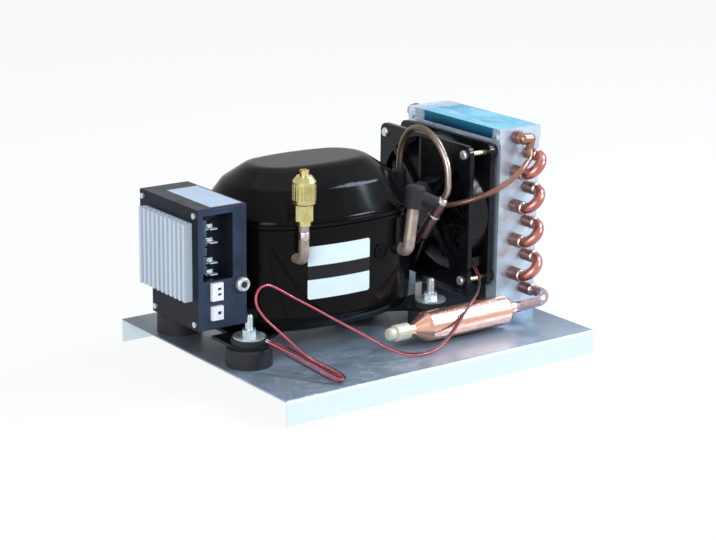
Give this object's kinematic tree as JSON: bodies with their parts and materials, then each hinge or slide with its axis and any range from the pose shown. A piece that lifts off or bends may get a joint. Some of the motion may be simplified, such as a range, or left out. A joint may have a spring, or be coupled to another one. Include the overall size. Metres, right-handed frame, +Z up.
{
  "type": "refrigeration condensing unit",
  "caption": "Air-cooled condensing unit: hermetic compressor with its controller, fan and finned condenser, copper lines and a filter drier on a folded sheet tray.",
  "frame": {"origin": "centre of the tray's footprint, on the surface that the tray stands on", "axes": "+X along the tray from the controller to the condenser, +Y to the back, +Z up"},
  "size_m": [0.3288, 0.24, 0.1784],
  "materials": {
    "galvanised_sheet": "spangled zinc, satin",
    "zinc_plated_steel": "bright zinc plate",
    "yellow_zinc_steel": "yellow passivated zinc",
    "black_enamel": "gloss",
    "black_rubber": "matt",
    "black_plastic": "satin",
    "dark_housing": "satin powder coat",
    "aluminium_sink": "natural extrusion",
    "aluminium_fin": "thin bright sheet",
    "copper_tube": "annealed copper, satin",
    "copper_bright": "polished copper",
    "tarnished_copper": "heat-stained copper",
    "yellow_brass": "machined brass",
    "winding_copper": "enamelled wire",
    "bearing_bronze": "sintered bronze",
    "laminated_steel": "stacked laminations",
    "cast_iron_grey": "machined casting",
    "ground_steel": "ground",
    "blue_film": "thin protective film",
    "plug_plastic": "translucent soft plastic",
    "white_label": "printed film",
    "white_nylon": "moulded nylon",
    "desiccant": "porous block",
    "red_wire": "PVC insulation",
    "circuit_board": "solder mask"
  },
  "bodies": {
    "unit": {"base_tray": "galvanised_sheet", "foot_brackets": "black_enamel", "foot_grommets": "black_rubber", "foot_sleeves": "zinc_plated_steel", "foot_bolts": "zinc_plated_steel", "foot_washers": "zinc_plated_steel", "foot_nuts": "zinc_plated_steel", "shell_lower": "black_enamel", "shell_upper": "black_enamel", "hermetic_terminal": "zinc_plated_steel", "compressor_label": "white_label", "suspension_springs": "ground_steel", "stator_core": "laminated_steel", "stator_windings": "winding_copper", "motor_rotor": "laminated_steel", "crankshaft": "ground_steel", "cylinder_block": "cast_iron_grey", "piston": "ground_steel", "connecting_rod": "ground_steel", "cylinder_head": "cast_iron_grey", "suction_tube": "tarnished_copper", "process_tube": "tarnished_copper", "service_valve_body": "yellow_brass", "discharge_line": "copper_tube", "discharge_sleeve": "black_rubber", "high_side_stub": "tarnished_copper", "condenser_inlet_line": "copper_tube", "condenser_plate_front": "galvanised_sheet", "condenser_plate_back": "galvanised_sheet", "condenser_tubes": "tarnished_copper", "condenser_bends": "copper_tube", "condenser_fins": "aluminium_fin", "condenser_cover": "galvanised_sheet", "cover_film": "blue_film", "condenser_screws": "zinc_plated_steel", "liquid_line": "tarnished_copper", "filter_drier_shell": "copper_bright", "drier_core": "desiccant", "fan_frame": "black_plastic", "fan_bearing": "bearing_bronze", "fan_coil": "winding_copper", "fan_bolts": "yellow_zinc_steel", "fan_spacers": "black_rubber", "fan_nuts": "zinc_plated_steel", "fan_lead": "red_wire", "fan_lead_hank": "red_wire", "controller_case": "dark_housing", "controller_cover": "dark_housing", "controller_heat_sink": "aluminium_sink", "controller_screws": "zinc_plated_steel", "controller_board": "circuit_board", "controller_terminals": "zinc_plated_steel", "controller_connectors": "white_nylon", "controller_label": "white_label"},
    "fan_rotor_body": {"fan_rotor": "black_plastic", "fan_shaft": "ground_steel"},
    "valve_cap": {"service_valve_cap": "yellow_brass"},
    "valve_core": {"service_valve_pin": "ground_steel"},
    "suction_plug": {"suction_cap": "black_rubber"},
    "drier_seal": {"drier_plug": "plug_plastic"}
  },
  "joints": [
    {"name": "fan_spin", "type": "hinge", "parent": "unit", "child": "fan_rotor_body", "pos_m": [0.0895, 0.0145, 0.106], "axis": [1, 0, 0], "continuous": true},
    {"name": "valve_cap_lift", "type": "slide", "parent": "unit", "child": "valve_cap", "axis": [0, 0, 1], "range_m": [0, 0.045]},
    {"name": "valve_core_press", "type": "slide", "parent": "unit", "child": "valve_core", "axis": [0, 0, -1], "range_m": [0, 0.0015], "stiffness_N_per_m": 200},
    {"name": "suction_cap_pull", "type": "slide", "parent": "unit", "child": "suction_plug", "axis": [0.1392, 0, 0.9903], "range_m": [0, 0.045]},
    {"name": "drier_plug_pull", "type": "slide", "parent": "unit", "child": "drier_seal", "axis": [-1, 0, 0], "range_m": [0, 0.045]}
  ]
}
